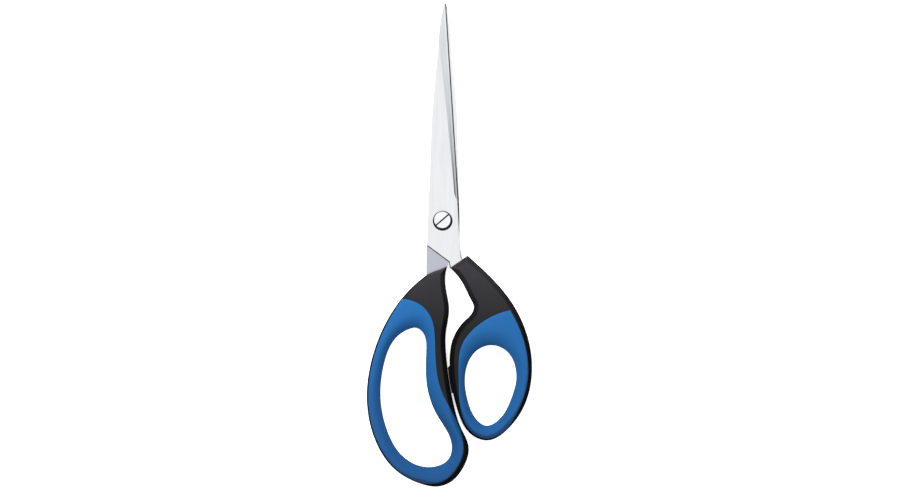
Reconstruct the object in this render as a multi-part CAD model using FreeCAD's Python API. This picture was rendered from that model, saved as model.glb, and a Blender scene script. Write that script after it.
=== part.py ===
import FreeCAD, Part
import math
import os

# Ten-inch office scissors, lying closed and flat.  Millimetres, +Z up, +Y towards the tips.
# Z = 0 is the surface that the handles lie on, and the origin is under the middle of the whole.
# Every outline is drawn from the pivot's centre, and each piece is moved into place at the end.
# The front half is the upper blade with the thumb handle, and the rear half is the lower blade
# with the finger handle.  The blades slide on each other at the parting plane.

# ---- driving dimensions ----------------------------------------------------------------
PIVOT_X = -3.73             # pivot's centre from the middle of the overall box
PIVOT_Y = 13.23
HANDLE_THICK = 12.0
PARTING_Z = 6.0             # height of the parting plane
FACE_RELIEF = 0.03          # each blade's inner face stands this far off the parting plane
BLADE_THICK = 2.0           # from the parting plane to a blade's outer face
CLOSING_X = 0.6             # the closing line, between the closed blades, passes the pivot here
CLOSING_LEAN = 0.48         # and leans this many degrees towards +X

# blade outline, front blade seen from above
SPINE = [(-7.9, -13.8), (-7.9, 0.0), (-7.0, 20.0), (-5.3, 60.0), (-2.5, 90.0), (-0.1, 110.0),
         (0.7, 113.2)]
TIP_TOP = (1.5, 114.3)
EDGE_TIP = (2.15, 113.2)    # the cutting edge is straight from here to the heel
EDGE_HEEL = (8.75, 9.0)
RICASSO = [EDGE_HEEL, (9.0, 0.0), (9.3, -13.8), (10.4, -20.9)]
SPINE_CHAMFER = 0.8         # along the spine, on the inner face
RICASSO_CHAMFER = 0.8       # along the ricasso, on the outer face
SPINE_BREAK = 0.25          # along the spine, on the outer face

# the ground side of a blade: a wide bevel from the ridge, a narrow facet, and the cutting bevel
RIDGE_TIP = (-4.5, 114.5)   # the ridge is the straight line between these two
RIDGE_HEEL = (6.8, 8.7)
CUTTING_WIDTH = 0.65
FACET_WIDTH = 0.75
EDGE_LAND = 0.08            # height of the cutting edge above the parting plane
CUTTING_TOP_TIP = 0.55      # heights of the facets' upper lines, at the tip and at the heel
CUTTING_TOP_HEEL = 1.0
FACET_TOP_TIP = 0.85
FACET_TOP_HEEL = 1.45
PLUNGE_RADIUS = 22.2        # the grinding wheel's round run-out at the heel
PLUNGE_Y = 20.0             # the wheel's centre is this far above the pivot
PLUNGE_X = 5.5              # the run-out starts here

# tangs: the narrow ends that the handles are moulded on
SHOULDER = (3.5, -22.2)
FRONT_TANG = [(10.4, -20.9), (27.2, -43.0), (22.9, -45.9), (6.6, -23.5), (4.0, -25.3), SHOULDER]
REAR_TANG = [(-8.5, -29.5), (-12.7, -49.5), (-7.0, -51.3), (0.0, -25.6), (2.7, -24.4), SHOULDER]
ANCHOR_RADIUS = 1.2         # the handles' plastic runs through these holes
FRONT_ANCHORS = [(16.0, -32.9), (21.5, -40.0)]
REAR_ANCHORS = [(-6.5, -36.0), (-8.9, -45.0)]

# tension screw, friction washer and nut
BORE_RADIUS = 2.6
SHANK_RADIUS = 2.55
THREAD_RADIUS = 1.75
NUT_HOLE_RADIUS = 1.8
HEAD_RADIUS = 4.5
HEAD_HEIGHT = 1.5
HEAD_ROUND = 0.35
SLOT_WIDTH = 0.8
SLOT_DEPTH = 0.8
SLOT_ANGLE = 40.5           # degrees from +X
WASHER_RADIUS = 5.2
WASHER_BORE = 3.15
WASHER_SHIFT = (0.2, -0.5)  # the loose washer sits off the shank's centre by this much
WASHER_THICK = 0.25
WASHER_GAP = 0.02           # the washer turns with the screw, this far off the blade
NUT_BARREL_RADIUS = 3.0
NUT_FLATS = 4.6             # across the barrel's two flats
NUT_FIT = 0.04
NUT_FLANGE_RADIUS = 4.6
NUT_FLANGE_THICK = 1.6
NUT_CHAMFER = 0.4
NUT_SINK = 0.15             # the barrel's end is this far below the parting plane

# handles
EDGE_BEVEL = 2.0            # along a handle's outer edges
HOLE_ROUND = 3.0            # rounding along a loop's inner edges
WEB_BOTTOM = 3.0            # the hard core reaches inside the soft grip as a flat web
WEB_TOP = 9.0
GRIP_WALL = 1.8             # soft material between the web and the loop
STOP_GAP = 0.18             # between the stop pad and the finger handle, closed
STOP_BOTTOM = 3.0
STOP_TOP = 9.0
STOP_PAD = [(7.0, -75.0), (3.9, -77.0), (1.8, -79.3), (2.5, -90.2), (5.6, -91.6), (7.5, -92.2)]

# finger handle: a straight end face, down the back of the loop and up the front of the neck
FINGER_END = [(2.7, -24.4), (-9.2, -29.7)]
FINGER_BACK = [(-30.0, -54.5), (-37.3, -73.5), (-39.9, -95.0), (-35.8, -115.4), (-25.0, -131.7),
               (-10.0, -139.7)]
FINGER_FRONT = [(-2.8, -140.75), (5.0, -138.0), (10.0, -132.5), (13.9, -119.5), (10.0, -110.0),
                (6.2, -98.0), (2.0, -70.0), (1.9, -60.0), (3.6, -47.0), (1.9, -36.0)]
FINGER_OUTLINE = [FINGER_END[1], (-20.3, -40.0)] + FINGER_BACK + FINGER_FRONT + [FINGER_END[0]]
FINGER_HOLE = [(-15.5, -57.0), (-25.5, -63.5), (-31.0, -77.0), (-32.7, -91.0), (-29.5, -110.0),
               (-20.0, -125.5), (-6.0, -130.5), (3.4, -126.0), (4.9, -118.5), (-2.8, -103.0),
               (-8.3, -86.5), (-8.5, -68.0), (-10.0, -59.8)]
# the soft grip's boundary across the handle, from its one sharp point to the loop's bottom
FINGER_SEAM = [(-20.9, -41.6), (-15.0, -42.9), (-9.5, -46.3), (-5.5, -52.5), (-3.8, -64.0),
               (-3.2, -77.0), (-0.6, -89.5), (4.0, -99.0), (10.2, -113.0), (11.2, -119.5),
               (7.5, -131.0), (-0.5, -138.2)]
FINGER_RIM = 0.85           # round the loop's back the soft grip stops this far inside the outline

# thumb handle: a straight end face, then one curve round the loop
THUMB_END = [(4.0, -25.3), (13.4, -18.8)]
THUMB_OUTLINE = [THUMB_END[1], (25.0, -29.5), (35.0, -41.0), (43.2, -56.0), (47.4, -77.0),
                 (44.2, -96.0), (35.5, -109.5), (23.5, -116.4), (14.5, -112.6), (8.0, -100.5),
                 (3.8, -76.0), (5.5, -63.0), (11.5, -53.5), (15.8, -48.8), (16.6, -46.0),
                 (15.1, -42.2), (10.5, -33.0), THUMB_END[0]]
THUMB_HOLE_CENTRE = (25.1, -87.4)
THUMB_HOLE_LENGTH = 42.6
THUMB_HOLE_WIDTH = 26.4     # at half its length
THUMB_HOLE_TAPER = 0.2      # share by which the egg is fuller at the top
THUMB_HOLE_LEAN = 5.0       # degrees from +Y towards +X
EGG_POINTS = 12
THUMB_SEAM = [(35.8, -47.6), (42.8, -63.0), (45.3, -76.0), (44.0, -90.0), (39.5, -101.5),
              (30.9, -112.7), (22.3, -115.3), (14.4, -110.7), (9.9, -101.0), (8.6, -83.0),
              (10.3, -66.0), (20.0, -54.6), (35.8, -47.6)]

UP = FreeCAD.Vector(0, 0, 1)
PIVOT = FreeCAD.Vector(0, 0, 0)
CLOSING_POINT = FreeCAD.Vector(CLOSING_X, 0, 0)
CLOSING_LINE = FreeCAD.Vector(math.sin(math.radians(CLOSING_LEAN)),
                              math.cos(math.radians(CLOSING_LEAN)), 0)
PAST = 1.0                  # how far a cutting tool runs past what it cuts
LEVEL = 0.001               # an edge that rises less than this is level


# ---- outlines --------------------------------------------------------------------------
def at(point, height=0.0):
    """The place of a plan point at a height."""
    return FreeCAD.Vector(point[0], point[1], height)


def smooth(points, closed=False):
    """One smooth curve through plan points."""
    curve = Part.BSplineCurve()
    curve.interpolate(Points=[at(point) for point in points], PeriodicFlag=closed)
    return curve.toShape()


def straight(points):
    """Straight lines from point to point."""
    return [Part.makeLine(at(a), at(b)) for a, b in zip(points, points[1:])]


def prism(edges, bottom, top):
    """The solid above a closed outline, between two heights."""
    face = Part.Face(Part.Wire(edges))
    face.translate(UP * bottom)
    return face.extrude(UP * (top - bottom))


def polygon(points, bottom, top):
    """The solid above a straight-sided outline."""
    return prism(straight(points + points[:1]), bottom, top)


def disc(radius, bottom, top, centre=(0.0, 0.0)):
    """A round solid between two heights."""
    return Part.makeCylinder(radius, top - bottom, at(centre, bottom))


def pushed_out(points, distance):
    """A closed outline's points moved square to it, away from its middle."""
    count = len(points)
    middle = at((sum(x for x, _ in points) / count, sum(y for _, y in points) / count))
    moved = []
    for index, point in enumerate(points):
        run = at(points[(index + 1) % count]) - at(points[index - 1])
        out = FreeCAD.Vector(run.y, -run.x, 0).normalize()
        if out.dot(at(point) - middle) < 0:
            out = -out
        moved.append((point[0] + distance * out.x, point[1] + distance * out.y))
    return moved


def egg(centre, length, width, taper, lean):
    """Points round an egg-shaped outline whose long axis leans from +Y towards +X."""
    tilt = math.radians(lean)
    points = []
    for step in range(EGG_POINTS):
        turn = 2 * math.pi * step / EGG_POINTS
        along = length / 2 * math.sin(turn)
        across = width / 2 * math.cos(turn) * (1 + taper * math.sin(turn))
        points.append((centre[0] + across * math.cos(tilt) + along * math.sin(tilt),
                       centre[1] + along * math.cos(tilt) - across * math.sin(tilt)))
    return points


def edge_at(solid, point, height):
    """The solid's level edge at that height which passes nearest to a plan point."""
    level = [edge for edge in solid.Edges
             if abs(edge.BoundBox.ZMin - height) < LEVEL and edge.BoundBox.ZLength < LEVEL]
    probe = Part.Vertex(at(point, height))
    return min(level, key=lambda edge: edge.distToShape(probe)[0])


# ---- blades ----------------------------------------------------------------------------
def turned_over(shape):
    """A front blade's shape turned over about the closing line, as a rear blade lies."""
    turned = shape.copy()
    turned.rotate(CLOSING_POINT, CLOSING_LINE, 180)
    return turned


def mirrored(point):
    """A plan point on the other side of the closing line."""
    arm = at(point) - CLOSING_POINT
    across = CLOSING_POINT + CLOSING_LINE * (2 * arm.dot(CLOSING_LINE)) - arm
    return (across.x, across.y)


def ground_away():
    """What grinding takes off a blade's outer face, from the ridge to the cutting edge."""
    def section(ridge, edge, facet_top, cutting_top):
        slope = (BLADE_THICK - facet_top) / (edge[0] - CUTTING_WIDTH - FACET_WIDTH - ridge[0])
        steep = (cutting_top - EDGE_LAND) / CUTTING_WIDTH
        corners = [(ridge[0] - PAST, BLADE_THICK + slope * PAST),
                   (edge[0] - CUTTING_WIDTH - FACET_WIDTH, facet_top),
                   (edge[0] - CUTTING_WIDTH, cutting_top),
                   (edge[0], EDGE_LAND),
                   (edge[0] + PAST, EDGE_LAND - steep * PAST),
                   (edge[0] + 2 * PAST, BLADE_THICK + 2 * PAST),
                   (ridge[0] - PAST, BLADE_THICK + 2 * PAST)]
        places = [FreeCAD.Vector(x, edge[1], z) for x, z in corners]
        return Part.makePolygon(places + places[:1])

    def along(first, second, y):
        share = (y - first[1]) / (second[1] - first[1])
        return (first[0] + share * (second[0] - first[0]), y)

    far_y = TIP_TOP[1] + PAST
    near_y = EDGE_HEEL[1] - 2 * PAST
    far = section(along(RIDGE_TIP, RIDGE_HEEL, far_y), along(EDGE_TIP, EDGE_HEEL, far_y),
                  FACET_TOP_TIP, CUTTING_TOP_TIP)
    near = section(along(RIDGE_TIP, RIDGE_HEEL, near_y), along(EDGE_TIP, EDGE_HEEL, near_y),
                   FACET_TOP_HEEL, CUTTING_TOP_HEEL)
    profile = Part.makeLoft([near, far], True, True)
    wheel = disc(PLUNGE_RADIUS, -PAST, 2 * BLADE_THICK, (PLUNGE_X + PLUNGE_RADIUS, PLUNGE_Y))
    side = PLUNGE_RADIUS
    open_end = [(-side, PLUNGE_Y), (side, PLUNGE_Y), (side, far_y + PAST), (-side, far_y + PAST)]
    reach = wheel.fuse(polygon(open_end, -PAST, 2 * BLADE_THICK))
    return profile.common(reach)


def blade(tang, anchors):
    """A blade lying as the front one does, above the parting plane at Z = 0."""
    tip = Part.Arc(at(SPINE[-1]), at(TIP_TOP), at(EDGE_TIP)).toShape()
    edges = [smooth(SPINE), tip] + straight([EDGE_TIP, EDGE_HEEL])
    edges += [smooth(RICASSO[:-1] + [tang[0]])]
    edges += straight(tang + [SPINE[0]])
    blank = prism(edges, FACE_RELIEF, BLADE_THICK)
    blank = blank.makeChamfer(SPINE_CHAMFER, [edge_at(blank, SPINE[4], FACE_RELIEF)])
    blank = blank.makeChamfer(SPINE_BREAK, [edge_at(blank, SPINE[4], BLADE_THICK)])
    blank = blank.makeChamfer(RICASSO_CHAMFER, [edge_at(blank, RICASSO[1], BLADE_THICK)])
    for anchor in anchors:
        blank = blank.cut(disc(ANCHOR_RADIUS, -PAST, BLADE_THICK + PAST, anchor))
    return blank.cut(ground_away())


def flatted(radius, flats, bottom, top):
    """A round bar with two flats across X."""
    bar = disc(radius, bottom, top)
    sides = Part.makeBox(flats, 2 * radius, top - bottom, FreeCAD.Vector(-flats / 2, -radius, bottom))
    return bar.common(sides)


def front_blade():
    """The upper blade, with a round bore that turns on the screw."""
    solid = blade(FRONT_TANG, FRONT_ANCHORS)
    return solid.cut(disc(BORE_RADIUS, -PAST, BLADE_THICK + PAST))


def rear_blade():
    """The lower blade: the same blank turned over, with a flatted hole that holds the nut."""
    tang = [mirrored(point) for point in REAR_TANG]
    anchors = [mirrored(point) for point in REAR_ANCHORS]
    solid = turned_over(blade(tang, anchors))
    hole = flatted(NUT_BARREL_RADIUS + NUT_FIT, NUT_FLATS + 2 * NUT_FIT, -BLADE_THICK - PAST, PAST)
    return solid.cut(hole)


# ---- screw, washer and nut -------------------------------------------------------------
def head_bottom():
    """Height of the screw head's underside above the parting plane."""
    return BLADE_THICK + WASHER_GAP + WASHER_THICK


def pivot_screw():
    """A slotted tension screw: low head, shank through the front blade, thread in the nut."""
    bottom = head_bottom()
    head = disc(HEAD_RADIUS, bottom, bottom + HEAD_HEIGHT)
    head = head.makeFillet(HEAD_ROUND, [edge_at(head, (HEAD_RADIUS, 0), bottom + HEAD_HEIGHT)])
    slot_length = 2 * (HEAD_RADIUS + PAST)
    slot = Part.makeBox(slot_length, SLOT_WIDTH, 2 * SLOT_DEPTH,
                        FreeCAD.Vector(-slot_length / 2, -SLOT_WIDTH / 2,
                                       bottom + HEAD_HEIGHT - SLOT_DEPTH))
    slot.rotate(PIVOT, UP, SLOT_ANGLE)
    shank = disc(SHANK_RADIUS, 0.0, bottom)
    thread = disc(THREAD_RADIUS, -BLADE_THICK - NUT_FLANGE_THICK + NUT_CHAMFER, bottom)
    return head.cut(slot).fuse([shank, thread]).removeSplitter()


def pivot_washer():
    """A thin friction washer, wider than the screw's head and loose on its shank."""
    bottom = BLADE_THICK + WASHER_GAP
    ring = disc(WASHER_RADIUS, bottom, bottom + WASHER_THICK)
    ring = ring.cut(disc(WASHER_BORE, bottom - PAST, bottom + PAST))
    ring.translate(FreeCAD.Vector(*WASHER_SHIFT, 0.0))
    return ring


def pivot_nut():
    """A flanged nut behind the rear blade, kept from turning by its barrel's two flats."""
    flange_top = -BLADE_THICK
    flange_bottom = flange_top - NUT_FLANGE_THICK
    flange = disc(NUT_FLANGE_RADIUS, flange_bottom, flange_top)
    flange = flange.makeChamfer(NUT_CHAMFER, [edge_at(flange, (NUT_FLANGE_RADIUS, 0), flange_bottom)])
    barrel = flatted(NUT_BARREL_RADIUS, NUT_FLATS, flange_bottom + NUT_CHAMFER, -NUT_SINK)
    hole = disc(NUT_HOLE_RADIUS, flange_bottom - PAST, PAST)
    return flange.fuse(barrel).cut(hole).removeSplitter()


# ---- handles ---------------------------------------------------------------------------
def handle_blank(end, outline, hole):
    """A whole handle, core and grip as one, with its outer edges bevelled and its loop rounded."""
    body = prism(straight(end) + [smooth(outline)], 0.0, HANDLE_THICK)
    level = [edge for edge in body.Edges if edge.BoundBox.ZLength < LEVEL]
    body = body.makeChamfer(EDGE_BEVEL, level)
    body = body.cut(prism([smooth(hole, closed=True)], -PAST, HANDLE_THICK + PAST))
    rims = [edge_at(body, hole[0], height) for height in (0.0, HANDLE_THICK)]
    return body.makeFillet(HOLE_ROUND, rims)


def grip_room(seam, hole):
    """The space that the soft grip fills: inside the seam, less the core's web."""
    inside = prism([smooth(seam)], -PAST, HANDLE_THICK + PAST)
    lining = smooth(pushed_out(hole, GRIP_WALL), closed=True)
    span = inside.BoundBox
    web = Part.makeBox(span.XLength, span.YLength, WEB_TOP - WEB_BOTTOM,
                       FreeCAD.Vector(span.XMin, span.YMin, WEB_BOTTOM))
    web = web.cut(prism([lining], WEB_BOTTOM - PAST, WEB_TOP + PAST))
    return inside.cut(web)


def on_parting_plane(shape):
    """A blade or screw part raised from the parting plane's height of 0 to its own."""
    return shape.translated(UP * PARTING_Z)


def stop_pad():
    """The pad on the thumb handle's side that meets the finger handle when the blades close."""
    pad = polygon(STOP_PAD, STOP_BOTTOM, STOP_TOP)
    side = prism(straight(FINGER_END) + [smooth(FINGER_OUTLINE)], 0.0, HANDLE_THICK)
    return pad.cut(side.translated(FreeCAD.Vector(STOP_GAP, 0, 0)))


def finger_seam():
    """The soft grip's boundary: across the handle, then back just inside the loop's outline."""
    inside = pushed_out(FINGER_OUTLINE, -FINGER_RIM)
    first = FINGER_OUTLINE.index(FINGER_BACK[0])
    back = inside[first:first + len(FINGER_BACK)]
    return FINGER_SEAM + back[::-1] + FINGER_SEAM[:1]


def thumb_hole():
    """The thumb loop's opening."""
    return egg(THUMB_HOLE_CENTRE, THUMB_HOLE_LENGTH, THUMB_HOLE_WIDTH, THUMB_HOLE_TAPER,
               THUMB_HOLE_LEAN)


def finger_handle():
    """The hard core of the large handle, moulded round the rear blade's tang."""
    body = handle_blank(FINGER_END, FINGER_OUTLINE, FINGER_HOLE)
    core = body.cut(grip_room(finger_seam(), FINGER_HOLE))
    return core.cut(on_parting_plane(rear_blade()))


def finger_grip():
    """The soft ring of the large handle, round the loop on both faces."""
    body = handle_blank(FINGER_END, FINGER_OUTLINE, FINGER_HOLE)
    return body.common(grip_room(finger_seam(), FINGER_HOLE))


def thumb_handle():
    """The hard core of the small handle, moulded round the front blade's tang."""
    body = handle_blank(THUMB_END, THUMB_OUTLINE, thumb_hole())
    core = body.cut(grip_room(THUMB_SEAM, thumb_hole()))
    return core.fuse(stop_pad()).cut(on_parting_plane(front_blade()))


def thumb_grip():
    """The soft ring of the small handle, round the loop on both faces."""
    body = handle_blank(THUMB_END, THUMB_OUTLINE, thumb_hole())
    return body.common(grip_room(THUMB_SEAM, thumb_hole()))


# ---- the nine pieces -------------------------------------------------------------------
def pieces():
    """Every piece by its name, still with the pivot's centre at X = Y = 0."""
    return {
        "front_blade": on_parting_plane(front_blade()),
        "rear_blade": on_parting_plane(rear_blade()),
        "pivot_screw": on_parting_plane(pivot_screw()),
        "pivot_washer": on_parting_plane(pivot_washer()),
        "pivot_nut": on_parting_plane(pivot_nut()),
        "finger_handle": finger_handle(),
        "finger_grip": finger_grip(),
        "thumb_handle": thumb_handle(),
        "thumb_grip": thumb_grip(),
    }


def main():
    os.makedirs("parts", exist_ok=True)
    to_origin = FreeCAD.Vector(PIVOT_X, PIVOT_Y, 0)
    for name, shape in pieces().items():
        placed = shape.translated(to_origin)
        if not placed.isValid() or len(placed.Solids) != 1:
            raise SystemExit(name + " is not one valid solid")
        placed.Solids[0].exportStep("parts/" + name + ".step")
        print(name, round(placed.Volume), "mm3")


main()
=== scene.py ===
"""Office scissors: the looks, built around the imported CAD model.

The four handle nodes are replaced by finer meshes made from the CAD model's own outlines. The blades,
the screw, the washer and the nut are copies of their CAD meshes with finishes on them. Outlines are
worked out in millimetres, and the meshes are made in metres.
"""

import math

import bmesh
import bpy
import numpy as np
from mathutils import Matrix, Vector
from mathutils.geometry import delaunay_2d_cdt


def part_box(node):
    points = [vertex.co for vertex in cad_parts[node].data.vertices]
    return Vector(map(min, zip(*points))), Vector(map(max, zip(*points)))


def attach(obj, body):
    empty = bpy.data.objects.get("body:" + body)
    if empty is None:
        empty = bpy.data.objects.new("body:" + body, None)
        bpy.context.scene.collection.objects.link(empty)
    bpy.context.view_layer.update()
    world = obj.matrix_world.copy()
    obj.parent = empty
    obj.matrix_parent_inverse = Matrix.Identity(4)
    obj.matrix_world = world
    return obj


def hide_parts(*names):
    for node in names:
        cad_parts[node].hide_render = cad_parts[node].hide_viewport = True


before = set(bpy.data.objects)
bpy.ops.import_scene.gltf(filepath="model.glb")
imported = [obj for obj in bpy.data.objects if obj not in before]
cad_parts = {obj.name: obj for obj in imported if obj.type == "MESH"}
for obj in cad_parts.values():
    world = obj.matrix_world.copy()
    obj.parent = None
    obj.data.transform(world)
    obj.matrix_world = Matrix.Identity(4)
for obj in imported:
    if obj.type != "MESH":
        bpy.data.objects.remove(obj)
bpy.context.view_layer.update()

MM = 0.001

# ---------------------------------------------------------------- sizes, in millimetres
MID_LEVEL = 6.0              # the parting plane between the two halves
HALF_THICK = 5.97            # half of a handle's thickness, where it is thickest
WALL_LEVEL = 6.0137          # where they are cut to read their walls and holes, off any face's level
SECTION_LEVEL = 2.5137       # where the handles are cut to read their outline and seam
STEP = 0.5                   # spacing of the points along an outline
RING_SHARE = 0.985           # a ring's point this much nearer than its distance is dropped
RING_SLACK = 0.004
LINE_GAP = 0.06              # points stay this far from the outlines
POINT_GAP = 0.07             # and this far from each other
GRID = 1.3                   # spacing of the points inside
# From the outline inwards: distance, and how far the face has dropped there
EDGE_PROFILE = (
    (0.0, 4.4),
    (0.07, 3.5),
    (0.3, 2.75),
    (0.8, 2.0),
    (1.45, 1.25),
    (2.1, 0.6),
    (2.45, 0.24),
    (2.65, 0.09),
    (2.9, 0.04),
)
WALL_INSET = 0.03            # the finer walls stand this far inside the CAD walls
PAD_LEAST = 0.3              # walls further than this outside the edge belong to the stop pad
PAD_REACH = 0.15             # the pad's soft face is this much fuller than the CAD one
CROWN_REACH = 9.0
NARROW_SHARE = 0.34          # on the finger handle's back, the edge is this much narrower
NARROW_AWAY = (0.9, -0.45)   # the edge is full where the outline faces this way
RIM_DROP = 4.2               # how far the grip's face drops at the hole
RIM_SHARE = 0.62             # the rim's rounding as a share of the ring's width
RIM_LEAST = 3.2
RIM_MOST = 9.5
RIM_SOFT = 0.55              # how much of the rim's drop is an even slope, not a round
RIM_STEPS = (0.01, 0.04, 0.1, 0.2, 0.33, 0.5, 0.7, 0.9)
GRIP_LIP = 0.22              # the grip's rounded edge at the seam
CORE_LIP = 0.10              # the core's broken edge at the seam
LIP_WIDTH = 0.4
PARTING_GROOVE = 0.05


# ---------------------------------------------------------------- outlines

def section(node, level):
    """Closed outlines, in millimetres, where a CAD node's surface crosses a level."""
    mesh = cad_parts[node].data
    mesh.calc_loop_triangles()
    points = np.array([v.co for v in mesh.vertices]) / MM
    joined = {}
    for triangle in mesh.loop_triangles:
        crossings = []
        corners = [points[i] for i in triangle.vertices]
        for a, b in zip(corners, corners[1:] + corners[:1]):
            if (a[2] - level) * (b[2] - level) < 0:
                share = (level - a[2]) / (b[2] - a[2])
                spot = a + share * (b - a)
                crossings.append((round(spot[0], 3), round(spot[1], 3)))
        if len(crossings) == 2 and crossings[0] != crossings[1]:
            joined.setdefault(crossings[0], []).append(crossings[1])
            joined.setdefault(crossings[1], []).append(crossings[0])
    loops = []
    while joined:
        start = next(iter(joined))
        loop, spot = [start], start
        while True:
            ahead = [p for p in joined.pop(spot, []) if p in joined]
            if not ahead:
                break
            spot = ahead[0]
            loop.append(spot)
        if len(loop) > 8:
            loops.append(np.array(loop))
    return sorted(loops, key=lambda loop: -abs(area(loop)))


def area(loop):
    """Signed area, positive where the loop runs anticlockwise."""
    ahead = np.roll(loop, -1, axis=0)
    return float(np.sum(loop[:, 0] * ahead[:, 1] - ahead[:, 0] * loop[:, 1])) / 2


def turns(loop):
    """How far the loop turns at each point, in degrees."""
    back = loop - np.roll(loop, 1, axis=0)
    on = np.roll(loop, -1, axis=0) - loop
    cross = back[:, 0] * on[:, 1] - back[:, 1] * on[:, 0]
    dot = np.sum(back * on, axis=1)
    return np.degrees(np.arctan2(cross, dot))


def evened(points, step):
    """The same line with evenly spaced points, first and last kept."""
    lengths = np.linalg.norm(np.diff(points, axis=0), axis=1)
    along = np.concatenate(([0.0], np.cumsum(lengths)))
    count = max(2, int(round(along[-1] / step)) + 1)
    places = np.linspace(0.0, along[-1], count)
    return np.stack([np.interp(places, along, points[:, k]) for k in (0, 1)], axis=1)


def curved(points):
    """A smooth curve through the points, as a dense line."""
    lengths = np.linalg.norm(np.diff(points, axis=0), axis=1)
    along = np.concatenate(([0.0], np.cumsum(lengths)))
    slopes = np.gradient(points, along, axis=0, edge_order=1)
    dense = [points[:1]]
    for i, length in enumerate(lengths):
        t = np.linspace(0.0, 1.0, max(2, int(length / 0.1)) + 1)[1:, None]
        a, b = points[i], points[i + 1]
        u, v = slopes[i] * length, slopes[i + 1] * length
        dense.append(
            a * (2 * t**3 - 3 * t**2 + 1)
            + u * (t**3 - 2 * t**2 + t)
            + b * (3 * t**2 - 2 * t**3)
            + v * (t**3 - t**2)
        )
    return np.concatenate(dense)


def tidied(loop, corner=32.0):
    """An anticlockwise loop of even steps through a cut's true points, with its sharp corners kept.

    Returns the points and, for each, whether it is a sharp corner."""
    if area(loop) < 0:
        loop = loop[::-1]
    loop = loop[np.linalg.norm(loop - np.roll(loop, 1, axis=0), axis=1) > 0.02]
    loop = loop[np.abs(turns(loop)) > 0.25]
    sharp = np.nonzero(np.abs(turns(loop)) > corner)[0]
    if len(sharp) == 0:
        padded = np.concatenate([loop[-4:], loop, loop[:5]])
        line = curved(padded)
        first = np.argmin(np.linalg.norm(line - loop[0], axis=1))
        rest = line[first + 20:]
        last = first + 20 + np.argmin(np.linalg.norm(rest - loop[0], axis=1))
        points = evened(line[first:last + 1], STEP)[:-1]
        flags = np.zeros(len(points), bool)
        return relaxed(points, flags), flags
    loop = np.roll(loop, -sharp[0], axis=0)
    sharp = [*(sharp - sharp[0]), len(loop)]
    loop = np.concatenate([loop, loop[:1]])
    parts, flags = [], []
    for a, b in zip(sharp, sharp[1:]):
        part = evened(curved(loop[a:b + 1]), STEP)[:-1]
        parts.append(part)
        flags += [True] + [False] * (len(part) - 1)
    flags = np.array(flags)
    return relaxed(np.concatenate(parts), flags), flags


def relaxed(points, fixed, rounds=6):
    """Evens out the small wobble along a loop, leaving fixed points where they are."""
    for k in range(2 * rounds):
        pull = (np.roll(points, 1, axis=0) + np.roll(points, -1, axis=0)) / 2 - points
        share = 0.5 if k % 2 == 0 else -0.52
        points = points + np.where(fixed[:, None], 0.0, share * pull)
    return points


def softened(values, rounds):
    """Values round a loop, with their sudden changes spread out."""
    for _ in range(rounds):
        values = (np.roll(values, 1) + 2 * values + np.roll(values, -1)) / 4
    return values


def inward(points, flags):
    """The unit vector into the loop at each point, and how far its point goes for one step in."""
    back = points - np.roll(points, 1, axis=0)
    on = np.roll(points, -1, axis=0) - points
    back /= np.linalg.norm(back, axis=1)[:, None]
    on /= np.linalg.norm(on, axis=1)[:, None]
    mean = back + on
    mean /= np.linalg.norm(mean, axis=1)[:, None]
    reach = 1.0 / np.clip(np.sum(mean * on, axis=1), 0.35, 1.0)
    normal = np.stack([-mean[:, 1], mean[:, 0]], axis=1)
    return normal, np.where(flags, reach, 1.0)


def inset(outline, distance):
    """The same outline, moved inwards."""
    points, flags = outline
    normal, reach = inward(points, flags)
    return points + normal * (distance * reach)[:, None], flags


def ring(outline, distance):
    """Points at a distance inside an outline, or outside it where that is negative."""
    points, flags = outline
    normal, reach = inward(points, flags)
    moved = points + normal * (np.asarray(distance) * reach)[:, None]
    near = distances(moved, points)[0]
    return moved[near > np.abs(distance) * RING_SHARE - RING_SLACK]


def distances(spots, loop):
    """How far each spot is from a closed loop, and the number of the loop's nearest point."""
    a = loop
    along = np.roll(loop, -1, axis=0) - a
    length = np.sum(along * along, axis=1)
    best, index = [], []
    for chunk in np.array_split(spots, max(1, len(spots) // 1500)):
        offset = chunk[:, None, :] - a[None, :, :]
        t = np.clip(np.sum(offset * along[None], axis=2) / length, 0.0, 1.0)
        gap = offset - t[:, :, None] * along[None]
        far = np.sqrt(np.sum(gap * gap, axis=2))
        k = np.argmin(far, axis=1)
        best.append(far[np.arange(len(chunk)), k])
        index.append((k + np.round(t[np.arange(len(chunk)), k]).astype(int)) % len(loop))
    return np.concatenate(best), np.concatenate(index)


def inside(spots, loop):
    """Whether each spot lies inside a closed loop."""
    a, b = loop, np.roll(loop, -1, axis=0)
    result = np.zeros(len(spots), bool)
    for (ax, ay), (bx, by) in zip(a, b):
        if ay == by:
            continue
        crosses = (ay > spots[:, 1]) != (by > spots[:, 1])
        x = ax + (spots[:, 1] - ay) / (by - ay) * (bx - ax)
        result ^= crosses & (spots[:, 0] < x)
    return result


# ---------------------------------------------------------------- handles

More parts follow.
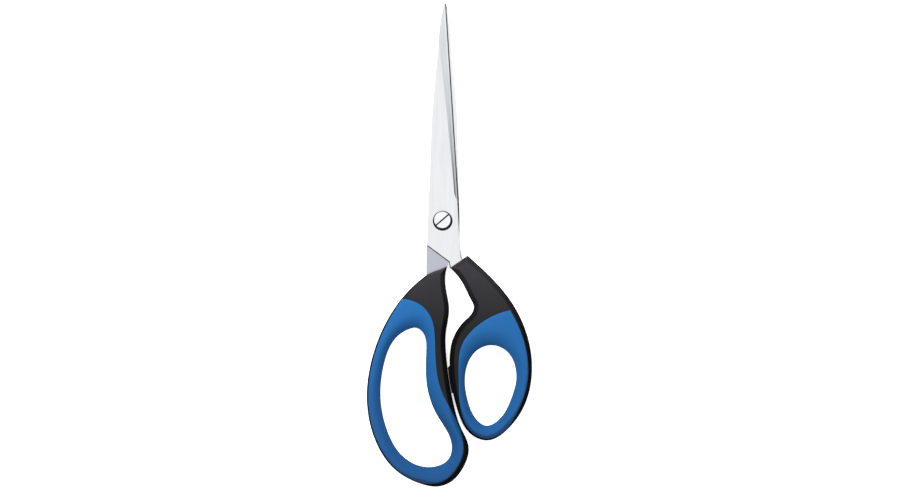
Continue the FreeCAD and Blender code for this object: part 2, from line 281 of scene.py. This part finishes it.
class Handle:
    """One moulded handle: its outlines, and the height of its face above the mid-plane."""

    def __init__(self, core_node, grip_node, narrow):
        cuts = section(core_node, SECTION_LEVEL)
        self.edge = inset(tidied(cuts[0]), WALL_INSET)
        self.seam = tidied(cuts[1])
        self.wall = inset(tidied(section(core_node, WALL_LEVEL)[0]), WALL_INSET)
        on_pad = distances(self.wall[0], self.edge[0])[0] > PAD_LEAST
        self.wall[0][on_pad, 0] -= PAD_REACH
        self.hole = tidied(section(grip_node, WALL_LEVEL)[-1])
        width = distances(self.hole[0], self.edge[0])[0]
        self.rim = softened(np.clip(width * RIM_SHARE, RIM_LEAST, RIM_MOST), 60)
        outward = -inward(*self.edge)[0]
        facing = np.clip((outward @ np.array(NARROW_AWAY)) * 2.0 + 0.5, 0.0, 1.0)
        share = NARROW_SHARE + (1.0 - NARROW_SHARE) * facing**2 * (3.0 - 2.0 * facing)
        self.width = softened(share if narrow else np.ones(len(share)), 40)

    def plan(self):
        """Points and triangles of the handle seen from above, with the edge, seam and hole as edges."""
        fixed = [self.wall[0], self.seam[0], self.hole[0]]
        rings = [ring(self.seam, d) for d in (LIP_WIDTH, LIP_WIDTH * 0.45, -LIP_WIDTH * 0.5)]
        rings += [ring(self.edge, d * self.width) for d, _ in EDGE_PROFILE[1:]]
        rings += [ring(self.hole, -share * self.rim) for share in RIM_STEPS]
        kept = np.concatenate(fixed)
        outer = self.wall[0]
        for extra in rings:
            good = inside(extra, outer) & ~inside(extra, self.hole[0])
            extra = extra[good]
            extra = extra[self._clear(extra, fixed, LINE_GAP)]
            gap = np.min(np.linalg.norm(extra[:, None] - kept[None], axis=2), axis=1)
            kept = np.concatenate([kept, extra[gap > POINT_GAP]])
        low, high = outer.min(axis=0), outer.max(axis=0)
        across = np.arange(low[0], high[0], GRID)
        up = np.arange(low[1], high[1], GRID * 0.866)
        grid = np.array([(x + (j % 2) * GRID / 2, y) for j, y in enumerate(up) for x in across])
        grid = grid[inside(grid, outer) & ~inside(grid, self.hole[0])]
        gap = np.concatenate(
            [np.min(np.linalg.norm(part[:, None] - kept[None], axis=2), axis=1)
             for part in np.array_split(grid, 12)]
        )
        kept = np.concatenate([kept, grid[gap > GRID * 0.55]])
        edges, first = [], 0
        for loop in fixed:
            count = len(loop)
            edges += [(first + i, first + (i + 1) % count) for i in range(count)]
            first += count
        found = delaunay_2d_cdt([Vector(p) for p in kept], edges, [], 0, 1e-5)
        spots = np.array([tuple(v) for v in found[0]])
        faces = np.array([f for f in found[2] if len(f) == 3])
        middle = spots[faces].mean(axis=1)
        solid = inside(middle, outer) & ~inside(middle, self.hole[0])
        return spots, faces[solid], inside(middle, self.seam[0])[solid]

    @staticmethod
    def _clear(spots, loops, gap):
        """Whether each spot is clear of the loops."""
        return np.min([distances(spots, loop)[0] for loop in loops], axis=0) > gap

    def height(self, spots):
        """Half the handle's thickness at each spot, before the lips at the seam."""
        from_edge, beside = distances(spots, self.edge[0])
        within = inside(spots, self.edge[0]) | (from_edge < 0.02)
        from_edge = from_edge / self.width[beside]
        from_hole, nearest = distances(spots, self.hole[0])
        reach, drops = zip(*EDGE_PROFILE)
        edge_drop = np.interp(from_edge, reach, drops)
        land = np.clip((from_edge - reach[-1]) / CROWN_REACH, 0.0, 1.0)
        edge_drop -= drops[-1] * (1 - (1 - land) ** 2) * (from_edge > reach[-1])
        share = np.clip(1.0 - from_hole / self.rim[nearest], 0.0, 1.0)
        round_part = 1.0 - np.sqrt(np.clip(1.0 - share**2, 0.0, 1.0))
        rim_drop = RIM_DROP * (RIM_SOFT * share**1.7 + (1.0 - RIM_SOFT) * round_part)
        full = HALF_THICK - edge_drop - rim_drop
        from_wall = distances(spots, self.wall[0])[0]
        pad = STOP_HALF - 0.5 * np.clip(1.0 - from_wall / 0.5, 0.0, 1.0) ** 2
        return np.where(within, full, pad), pad


STOP_HALF = 3.0              # half the thickness of the stop between the handles


def handle_pieces(core_node, grip_node, core_name, grip_name, narrow):
    """The two pieces of one handle: the hard core and the soft grip."""
    handle = Handle(core_node, grip_node, narrow)
    spots, faces, soft = handle.plan()
    height, pad = handle.height(spots)
    near_pad = distances(handle.edge[0], handle.wall[0])[0] > 0.3
    if np.any(near_pad):
        to_pad = np.min(
            np.linalg.norm(spots[:, None] - handle.edge[0][near_pad][None], axis=2), axis=1
        )
        height = np.where((to_pad < 0.5), np.maximum(height, np.minimum(pad, STOP_HALF)), height)
    from_seam = distances(spots, handle.seam[0])[0]
    lip = np.clip(1.0 - from_seam / LIP_WIDTH, 0.0, 1.0) ** 2
    walls = [handle.wall[0], handle.hole[0]]
    core = shell(core_name, spots, faces[~soft], height - CORE_LIP * lip, walls)
    grip = shell(grip_name, spots, faces[soft], height - GRIP_LIP * lip, walls)
    return core, grip


def shell(name, spots, faces, height, walls):
    """A closed piece with the same face above and below, and walls with a fine parting groove."""
    used, compact = np.unique(faces, return_inverse=True)
    faces = compact.reshape(-1, 3)
    spots, height = spots[used], height[used]
    a, b, c = (spots[faces[:, k]] for k in range(3))
    twist = (b[:, 0] - a[:, 0]) * (c[:, 1] - a[:, 1]) - (b[:, 1] - a[:, 1]) * (c[:, 0] - a[:, 0])
    faces = np.where((twist > 0)[:, None], faces, faces[:, ::-1])
    faces = faces[np.abs(twist) > 1e-7]
    count = len(spots)
    sides = {}
    for face in faces:
        for i in range(3):
            sides[(face[i], face[(i + 1) % 3])] = True
    border = [side for side in sides if (side[1], side[0]) not in sides]
    top = np.column_stack([spots, MID_LEVEL + height])
    bottom = np.column_stack([spots, MID_LEVEL - height])
    points = [top, bottom]
    polygons = [tuple(int(i) for i in face) for face in faces]
    polygons += [tuple(int(i) + count for i in face[::-1]) for face in faces]
    on_border = sorted({i for side in border for i in side})
    groove = np.zeros((count, 2))
    for i, j in border:
        way = spots[j] - spots[i]
        way = way / np.linalg.norm(way)
        groove[i] += np.array([-way[1], way[0]])
        groove[j] += np.array([-way[1], way[0]])
    length = np.linalg.norm(groove, axis=1)
    groove = groove / np.where(length > 0, length, 1.0)[:, None]
    shown = np.min([distances(spots[on_border], loop)[0] for loop in walls], axis=0) < 0.02
    depth = np.zeros(count)
    depth[on_border] = np.where(shown, PARTING_GROOVE, 0.0)
    rows = []
    first = 2 * count
    for level, share in ((0.14, 0.0), (0.0, 1.0), (-0.14, 0.0)):
        row = {}
        for k, i in enumerate(on_border):
            row[i] = first + k
        rows.append(row)
        spot = spots[on_border] + groove[on_border] * (depth[on_border] * share)[:, None]
        points.append(np.column_stack([spot, np.full(len(on_border), MID_LEVEL + level)]))
        first += len(on_border)
    levels = [{i: i for i in on_border}, *rows, {i: i + count for i in on_border}]
    for i, j in border:
        for upper, lower in zip(levels, levels[1:]):
            polygons.append(tuple(int(n) for n in (upper[j], upper[i], lower[i], lower[j])))
    mesh = bpy.data.meshes.new(name)
    mesh.from_pydata([tuple(p) for p in np.concatenate(points) * MM], [], polygons)
    mesh.polygons.foreach_set("use_smooth", [True] * len(polygons))
    mesh.set_sharp_from_angle(angle=math.radians(48))
    mesh.validate()
    piece = bpy.data.objects.new(name, mesh)
    bpy.context.scene.collection.objects.link(piece)
    return piece


# ---------------------------------------------------------------- materials

def new_material(name):
    """An empty procedural material: the material, its tree and its shader."""
    material = bpy.data.materials.new(name)
    material.use_nodes = True
    return material, material.node_tree, material.node_tree.nodes["Principled BSDF"]


def node(tree, kind, settings=None, inputs=None):
    """A shader node with its settings and inputs filled in."""
    made = tree.nodes.new(kind)
    for key, value in (settings or {}).items():
        setattr(made, key, value)
    for key, value in (inputs or {}).items():
        if isinstance(value, bpy.types.NodeSocket):
            tree.links.new(value, made.inputs[key])
        else:
            made.inputs[key].default_value = value
    return made


def stretched(tree, scale):
    """The piece's own coordinates, scaled, in repeats per metre."""
    place = node(tree, "ShaderNodeTexCoord")
    return node(
        tree,
        "ShaderNodeVectorMath",
        {"operation": "MULTIPLY"},
        {0: place.outputs["Object"], 1: scale},
    ).outputs["Vector"]


def noise(tree, scale, detail=3.0, roughness=0.55):
    """Noise from the piece's own coordinates; scale is repeats per metre along each axis."""
    return node(
        tree,
        "ShaderNodeTexNoise",
        None,
        {"Vector": stretched(tree, scale), "Scale": 1.0, "Detail": detail, "Roughness": roughness},
    ).outputs["Fac"]


def spread(tree, value, low, high, start=0.3, end=0.7):
    """The value, taken from one range to another."""
    return node(
        tree,
        "ShaderNodeMapRange",
        None,
        {"Value": value, "From Min": start, "From Max": end, "To Min": low, "To Max": high},
    ).outputs["Result"]


def colour_mix(tree, share, one, other):
    """A colour between two colours, by a share that varies over the surface."""
    made = tree.nodes.new("ShaderNodeMix")
    made.data_type = "RGBA"
    tree.links.new(share, made.inputs["Factor"])
    made.inputs[6].default_value = (*one, 1.0)
    made.inputs[7].default_value = (*other, 1.0)
    return made.outputs[2]


def bumped(tree, shader, height, distance, strength=1.0):
    """Fine relief on the shader's normal; distance is the relief's height in metres."""
    bump = node(
        tree,
        "ShaderNodeBump",
        None,
        {"Height": height, "Distance": distance, "Strength": strength},
    )
    tree.links.new(bump.outputs["Normal"], shader.inputs["Normal"])


BLACK_SHADE_LOW, BLACK_SHADE_HIGH = -45.0, -15.0   # the black is painted paler towards the necks and darker towards the loops, as the light's falloff, between these


def black_plastic():
    """Satin black moulded plastic with a fine spark-eroded grain, its base colour painted paler towards
    the necks and darker towards the loops' bottoms as the light's falloff.
    """
    material, tree, shader = new_material("black_plastic")
    cloud = noise(tree, (90.0, 90.0, 90.0), 4.0)
    grain = noise(tree, (3800.0, 3800.0, 3800.0), 2.0)
    patches = noise(tree, (700.0, 700.0, 700.0))
    place = node(tree, "ShaderNodeTexCoord")
    split = node(tree, "ShaderNodeSeparateXYZ", None, {"Vector": place.outputs["Object"]})
    # Painted light: the base colour is paler towards the necks and darker towards the loops' bottoms.
    black_falloff = spread(tree, split.outputs["Y"], 0.0, 1.0, BLACK_SHADE_LOW * MM, BLACK_SHADE_HIGH * MM)
    share = node(
        tree, "ShaderNodeMath", {"operation": "MULTIPLY"},
        {0: black_falloff, 1: spread(tree, cloud, 0.75, 1.0)},
    ).outputs["Value"]
    colour = colour_mix(tree, share, (0.0022, 0.0020, 0.0026), (0.0150, 0.0138, 0.0170))
    tree.links.new(colour, shader.inputs["Base Color"])
    tree.links.new(spread(tree, patches, 0.36, 0.46), shader.inputs["Roughness"])
    shader.inputs["Specular IOR Level"].default_value = 0.22
    bumped(tree, shader, grain, 0.000012, 0.6)
    return material


BLUE_SHADE_LOW, BLUE_SHADE_HIGH = -120.0, -35.0   # the blue is painted darker towards the loops' bottoms, as shade, between these


def blue_rubber():
    """Soft blue rubber: matt, faintly mottled, with a fine grain, and painted darker towards the loops'
    bottoms as shade.
    """
    material, tree, shader = new_material("blue_rubber")
    cloud = noise(tree, (60.0, 60.0, 60.0), 3.0)
    grain = noise(tree, (2600.0, 2600.0, 2600.0), 2.0)
    patches = noise(tree, (500.0, 500.0, 500.0))
    place = node(tree, "ShaderNodeTexCoord")
    split = node(tree, "ShaderNodeSeparateXYZ", None, {"Vector": place.outputs["Object"]})
    # Painted shade: the base colour darkens towards the loops' bottoms.
    blue_falloff = spread(tree, split.outputs["Y"], 0.0, 0.85, BLUE_SHADE_LOW * MM, BLUE_SHADE_HIGH * MM)
    share = node(
        tree, "ShaderNodeMath", {"operation": "ADD"}, {0: blue_falloff, 1: spread(tree, cloud, 0.0, 0.15)}
    ).outputs["Value"]
    colour = colour_mix(tree, share, (0.0060, 0.046, 0.140), (0.0075, 0.078, 0.225))
    tree.links.new(colour, shader.inputs["Base Color"])
    tree.links.new(spread(tree, patches, 0.48, 0.62), shader.inputs["Roughness"])
    shader.inputs["Specular IOR Level"].default_value = 0.16
    bumped(tree, shader, grain, 0.000010, 0.5)
    return material


def steel(name, low, high, streak, rough, relief, heel_shade=None):
    """Ground steel. streak is how often the grinding marks repeat, per metre, along each axis.

    Where a heel colour is given, the steel takes it below the pivot, as a painted shade on the tang."""
    material, tree, shader = new_material(name)
    marks = noise(tree, streak, 3.0, 0.6)
    cloud = noise(tree, (420.0, 45.0, 420.0), 3.0)
    colour = colour_mix(tree, spread(tree, cloud, 0, 1), low, high)
    # Painted shade below the pivot.
    if heel_shade:
        place = node(tree, "ShaderNodeTexCoord")
        split = node(tree, "ShaderNodeSeparateXYZ", None, {"Vector": place.outputs["Object"]})
        share = spread(tree, split.outputs["Y"], 1.0, 0.0, HEEL_SHADE_START * MM, HEEL_SHADE_END * MM)
        mixed = tree.nodes.new("ShaderNodeMix")
        mixed.data_type = "RGBA"
        tree.links.new(share, mixed.inputs["Factor"])
        tree.links.new(colour, mixed.inputs[6])
        mixed.inputs[7].default_value = (*heel_shade, 1.0)
        colour = mixed.outputs[2]
    tree.links.new(colour, shader.inputs["Base Color"])
    tree.links.new(spread(tree, marks, *rough), shader.inputs["Roughness"])
    shader.inputs["Metallic"].default_value = 1.0
    bumped(tree, shader, marks, relief, 0.5)
    return material


def turned_steel(name, low, high, rough):
    """Bright turned steel: fine rings round the pivot's axis, and a few handling marks."""
    material, tree, shader = new_material(name)
    place = node(tree, "ShaderNodeTexCoord")
    flat = node(
        tree, "ShaderNodeVectorMath", {"operation": "MULTIPLY"},
        {0: place.outputs["Object"], 1: (1.0, 1.0, 0.0)},
    )
    axis = (PIVOT[0] * MM, PIVOT[1] * MM, 0.0)
    radius = node(
        tree, "ShaderNodeVectorMath", {"operation": "DISTANCE"},
        {0: flat.outputs["Vector"], 1: axis},
    )
    rings = node(
        tree, "ShaderNodeTexNoise", {"noise_dimensions": "1D"},
        {"W": radius.outputs["Value"], "Scale": 5200.0, "Detail": 2.0},
    ).outputs["Fac"]
    cloud = noise(tree, (900.0, 900.0, 900.0), 4.0)
    colour = colour_mix(tree, spread(tree, cloud, 0, 1), low, high)
    tree.links.new(colour, shader.inputs["Base Color"])
    tree.links.new(spread(tree, rings, *rough), shader.inputs["Roughness"])
    shader.inputs["Metallic"].default_value = 1.0
    bumped(tree, shader, rings, 0.000003, 0.5)
    return material


def paint(piece, *materials):
    """Gives a piece its materials."""
    piece.data.materials.clear()
    for material in materials:
        piece.data.materials.append(material)


# ---------------------------------------------------------------- blades and pivot

PIVOT = (-3.73, 13.23)
HEAD_FLAT = 4.3              # the screw head's face ends here, and its edge, painted dark as shade, begins
# The rear blade's inner face is painted darker below these levels, as shade on its tang.
HEEL_SHADE_START, HEEL_SHADE_END = -1.0, 5.0
LEVEL_TILT = 0.9996          # a face with a more upright normal than this is flat
WALL_TILT = 0.3              # and one with a less upright normal is a wall
EDGE_TIP = (2.15, 113.2)     # the front blade's cutting edge, from the pivot, is straight between these
EDGE_HEEL = (8.75, 9.0)
CLOSING_X, CLOSING_LEAN = 0.6, 0.48   # the rear blade is the front one turned over about this line
CUTTING_WIDTH = 0.65
FACET_WIDTH = 0.75
FLAT, BEVEL, FACET, CUTTING_SHADE, SIDE = range(5)
SHOULDER_LOW, SHOULDER_HIGH = -12.0, -0.7   # the shoulder lies between these, and left of this
SHOULDER_RIGHT = 0.6
SHOULDER_BREAK = 0.5
GROUND_ANGLE = 5.0           # degrees: ground faces that meet at more than this keep a crisp line


def copied(name, node_name, body):
    """A new piece with a copy of a CAD node's mesh, standing for that node."""
    piece = bpy.data.objects.new(name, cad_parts[node_name].data.copy())
    bpy.context.scene.collection.objects.link(piece)
    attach(piece, body)
    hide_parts(node_name)
    return piece


def as_front(x, y, rear):
    """A plan point from the pivot, as it lies on the front blade."""
    if not rear:
        return x, y
    lean = math.radians(CLOSING_LEAN)
    along = (x - CLOSING_X) * math.sin(lean) + y * math.cos(lean)
    return 2 * (CLOSING_X + along * math.sin(lean)) - x, 2 * along * math.cos(lean) - y


def finish(polygon, rear):
    """Which of a blade's finishes a face has, by its place and by where it looks: the facets take the
    painted highlight, and the cutting bevels and the slants that look the cutting edge's way take the
    painted shade.
    """
    facing = -1.0 if rear else 1.0
    upright = abs(polygon.normal.z)
    x, y = as_front(polygon.center.x / MM - PIVOT[0], polygon.center.y / MM - PIVOT[1], rear)
    if upright > LEVEL_TILT:
        return FLAT
    if upright < WALL_TILT:
        return SIDE
    if y > EDGE_HEEL[1] and polygon.normal.z * facing > 0 and polygon.normal.x * facing > 0:
        share = (y - EDGE_TIP[1]) / (EDGE_HEEL[1] - EDGE_TIP[1])
        gap = EDGE_TIP[0] + share * (EDGE_HEEL[0] - EDGE_TIP[0]) - x
        if gap < CUTTING_WIDTH:
            return CUTTING_SHADE
        return FACET if gap < CUTTING_WIDTH + FACET_WIDTH else BEVEL
    slant = polygon.normal.x * polygon.normal.z
    return SIDE if slant * facing < 0 else CUTTING_SHADE


def add_blades():
    """Two ground blades: polished flats, ground bevels, a facet painted pale as a highlight, and a
    cutting bevel painted dark as shade.
    """
    grind = (2200.0, 30.0, 900.0)
    fine = (1200.0, 1200.0, 1200.0)
    bevel = steel(
        "steel_bevel", (0.60, 0.625, 0.66), (0.66, 0.685, 0.715), grind, (0.36, 0.46), 0.0000015
    )
    # The facet steel's pale colour is a painted highlight.
    facet_highlight = steel("steel_facet_highlight", (0.84, 0.85, 0.88), (0.90, 0.91, 0.93), fine, (0.34, 0.44), 0.000001)
    # The cutting steel's dark colour is painted shade.
    cutting = steel(
        "steel_cutting_shade", (0.16, 0.17, 0.185), (0.24, 0.25, 0.27), fine, (0.40, 0.55), 0.000002
    )
    side = steel("steel_side", (0.78, 0.79, 0.82), (0.86, 0.87, 0.89), fine, (0.42, 0.55), 0.000002)
    side.node_tree.nodes["Principled BSDF"].inputs["Metallic"].default_value = 0.45
    low, high = (0.60, 0.607, 0.622), (0.645, 0.652, 0.665)
    marks, rough = (2600.0, 50.0, 2600.0), (0.26, 0.36)
    flats = {
        "front_blade": steel("steel_flat", low, high, marks, rough, 0.000002),
        # Painted shade: the rear blade's inner face darkens below the pivot.
        "rear_blade": steel("steel_inner", low, high, marks, rough, 0.000002, (0.385, 0.40, 0.455)),
    }
    for node_name, body in (("front_blade", "front_half"), ("rear_blade", "rear_half")):
        piece = copied("ground_" + node_name, node_name, body)
        paint(piece, flats[node_name], bevel, facet_highlight, cutting, side)
        for polygon in piece.data.polygons:
            polygon.material_index = finish(polygon, node_name == "rear_blade")
        if node_name == "front_blade":
            line_shoulder(piece)


def line_shoulder(piece):
    """Breaks the front blade's upper edge along its shoulder and gives the break the dark painted-shade
    steel, which leaves a thin dark line.
    """
    work = bmesh.new()
    work.from_mesh(piece.data)
    bmesh.ops.remove_doubles(work, verts=work.verts, dist=0.001 * MM)
    top = max(v.co.z for v in work.verts)
    within = [
        edge for edge in work.edges
        if len(edge.link_faces) == 2
        and all(face.material_index == FLAT and face.normal.z > LEVEL_TILT for face in edge.link_faces)
    ]
    bmesh.ops.dissolve_limit(work, angle_limit=math.radians(0.5), verts=[], edges=within)
    chosen = []
    for edge in work.edges:
        middle = (edge.verts[0].co + edge.verts[1].co) / 2
        level = all(abs(v.co.z - top) < 0.01 * MM for v in edge.verts)
        beside = SHOULDER_LOW < middle.y / MM < SHOULDER_HIGH and middle.x / MM < SHOULDER_RIGHT
        if level and beside and len(edge.link_faces) == 2 and edge.calc_face_angle() > math.radians(60):
            chosen.append(edge)
    bmesh.ops.bevel(
        work, geom=chosen, offset=SHOULDER_BREAK * MM, segments=1, profile=0.5,
        affect="EDGES", clamp_overlap=True, material=CUTTING_SHADE,
    )
    work.to_mesh(piece.data)
    work.free()
    piece.data.polygons.foreach_set("use_smooth", [True] * len(piece.data.polygons))
    piece.data.set_sharp_from_angle(angle=math.radians(GROUND_ANGLE))


def eased(piece, width, segments=3, least=30.0):
    """Rounds a copied piece's sharp edges a little; width is in millimetres."""
    work = bmesh.new()
    work.from_mesh(piece.data)
    bmesh.ops.remove_doubles(work, verts=work.verts, dist=0.001 * MM)
    bmesh.ops.dissolve_limit(
        work, angle_limit=math.radians(0.5), verts=work.verts, edges=work.edges
    )
    turn = math.radians(least)
    sharp = [e for e in work.edges if len(e.link_faces) == 2 and e.calc_face_angle() > turn]
    bmesh.ops.bevel(
        work, geom=sharp, offset=width * MM, segments=segments, profile=0.5,
        affect="EDGES", clamp_overlap=True,
    )
    mesh = bpy.data.meshes.new(piece.name)
    work.to_mesh(mesh)
    work.free()
    mesh.polygons.foreach_set("use_smooth", [True] * len(mesh.polygons))
    mesh.set_sharp_from_angle(angle=math.radians(35))
    piece.data = mesh


def add_pivot():
    """The screw with its slot, the washer and the nut, in turned steel. The slot and the head's rounded
    edge are painted dark as shade, and the washer near-black as the head's shadow.
    """
    bright = turned_steel("screw_face", (0.71, 0.72, 0.725), (0.77, 0.78, 0.785), (0.34, 0.50))
    # Painted shade: the slot and the head's rim are coloured dark.
    dark = turned_steel("screw_slot_shade", (0.03, 0.03, 0.032), (0.06, 0.06, 0.06), (0.5, 0.7))
    rim = turned_steel("screw_rim_shade", (0.16, 0.16, 0.165), (0.24, 0.24, 0.245), (0.4, 0.55))
    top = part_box("pivot_screw")[1].z
    screw = copied("slotted_screw", "pivot_screw", "tension_screw")
    eased(screw, 0.14)
    paint(screw, bright, dark, rim)
    for polygon in screw.data.polygons:
        x, y, z = polygon.center / MM
        out = math.hypot(x - PIVOT[0], y - PIVOT[1])
        sunk = top / MM - z
        if 0.2 < sunk < 1.0 and out < 4.6:
            polygon.material_index = 1
        elif out > HEAD_FLAT and sunk < 1.6:
            polygon.material_index = 2
    washer = copied("spring_washer", "pivot_washer", "tension_screw")
    eased(washer, 0.05, 2)
    # The washer's near-black colour is painted shadow: it shows round the head where its shadow falls.
    paint(washer, turned_steel("washer_shadow", (0.012, 0.012, 0.013), (0.025, 0.025, 0.026), (0.4, 0.55)))
    nut = copied("flanged_nut", "pivot_nut", "rear_half")
    eased(nut, 0.1)
    paint(nut, bright)


# ---------------------------------------------------------------- camera, floor and light

LENS = 180.0                 # mm, on a 36 mm sensor: a long lens, for a flat product view
SENSOR = 36.0
PICTURE_WIDTH = 0.4752       # metres across the picture at the scissors
VIEW_CENTRE = (0.00034, -0.00002)
FLOOR_HALF = 6.0
FLOOR_GLOW = 0.7             # the floor is a light table, so that shadows stay pale


def add_camera():
    """Straight above the scissors, with the points of the blades at the top of the picture."""
    data = bpy.data.cameras.new("camera")
    data.lens = LENS
    data.sensor_width = SENSOR
    data.clip_end = 50.0
    camera = bpy.data.objects.new("camera", data)
    distance = PICTURE_WIDTH * LENS / SENSOR
    camera.location = (*VIEW_CENTRE, MID_LEVEL * MM + distance)
    bpy.context.scene.collection.objects.link(camera)
    bpy.context.scene.camera = camera


def add_floor():
    """A plain pale floor."""
    mesh = bpy.data.meshes.new("floor")
    corners = [(-1, -1), (1, -1), (1, 1), (-1, 1)]
    mesh.from_pydata([(x * FLOOR_HALF, y * FLOOR_HALF, 0.0) for x, y in corners], [], [(0, 1, 2, 3)])
    floor = bpy.data.objects.new("floor", mesh)
    bpy.context.scene.collection.objects.link(floor)
    material, _, shader = new_material("floor")
    shader.inputs["Base Color"].default_value = (0.93, 0.93, 0.93, 1.0)
    shader.inputs["Roughness"].default_value = 0.9
    shader.inputs["Specular IOR Level"].default_value = 0.1
    shader.inputs["Emission Color"].default_value = (1.0, 1.0, 1.0, 1.0)
    shader.inputs["Emission Strength"].default_value = FLOOR_GLOW
    paint(floor, material)
    floor.visible_glossy = False


SKY_TOP = (-0.04, 0.12, 1.0)          # where the soft light is strongest
# The light's level by how near a direction is to that: 1 towards it, 0.5 square to it, 0 away from it
SKY_STEPS = (
    (0.0, 0.03),
    (0.42, 0.05),
    (0.54, 0.08),
    (0.64, 0.18),
    (0.74, 0.62),
    (0.80, 1.02),
    (0.88, 1.18),
    (0.95, 1.36),
    (1.0, 1.42),
)


def add_sky():
    """Soft studio light: brightest overhead and towards the points, dim towards the floor."""
    world = bpy.data.worlds.new("studio")
    bpy.context.scene.world = world
    world.use_nodes = True
    tree = world.node_tree
    place = node(tree, "ShaderNodeTexCoord")
    toward = node(
        tree,
        "ShaderNodeVectorMath",
        {"operation": "DOT_PRODUCT"},
        {0: place.outputs["Generated"], 1: Vector(SKY_TOP).normalized()},
    )
    share = spread(tree, toward.outputs["Value"], 0.0, 1.0, -1.0, 1.0)
    ramp = node(tree, "ShaderNodeValToRGB", None, {"Fac": share})
    points = ramp.color_ramp.elements
    while len(points) < len(SKY_STEPS):
        points.new(0.5)
    most = max(level for _, level in SKY_STEPS)
    for point, (at, level) in zip(points, SKY_STEPS):
        point.position = at
        point.color = (level / most, level / most, level / most, 1.0)
    background = tree.nodes["Background"]
    tree.links.new(ramp.outputs["Color"], background.inputs["Color"])
    background.inputs["Strength"].default_value = most


def add_light(name, place, aim, size, power):
    """A large soft square light."""
    data = bpy.data.lights.new(name, "AREA")
    data.size = size
    data.energy = power
    lamp = bpy.data.objects.new(name, data)
    lamp.location = place
    lamp.rotation_mode = "QUATERNION"
    lamp.rotation_quaternion = (Vector(aim) - Vector(place)).to_track_quat("-Z", "Y")
    lamp.visible_camera = False
    lamp.visible_glossy = False
    bpy.context.scene.collection.objects.link(lamp)


def main():
    bpy.context.scene.view_settings.view_transform = "Standard"
    add_camera()
    add_floor()
    add_sky()
    add_light("key", (-0.13, 0.24, 0.30), (0.0, -0.04, 0.0), 0.20, 3.2)
    plastic = black_plastic()
    rubber = blue_rubber()
    add_blades()
    add_pivot()
    sets = (
        ("finger_handle", "finger_grip", "finger_core", "finger_sleeve", "rear_half"),
        ("thumb_handle", "thumb_grip", "thumb_core", "thumb_sleeve", "front_half"),
    )
    for core_node, grip_node, core_name, grip_name, body in sets:
        narrow = core_name == "finger_core"
        core, grip = handle_pieces(core_node, grip_node, core_name, grip_name, narrow)
        paint(core, plastic)
        paint(grip, rubber)
        dressed = ((core, core_node, "handle_plastic"), (grip, grip_node, "grip_rubber"))
        for piece, replaced, slot in dressed:
            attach(piece, body)
            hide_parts(replaced)


main()
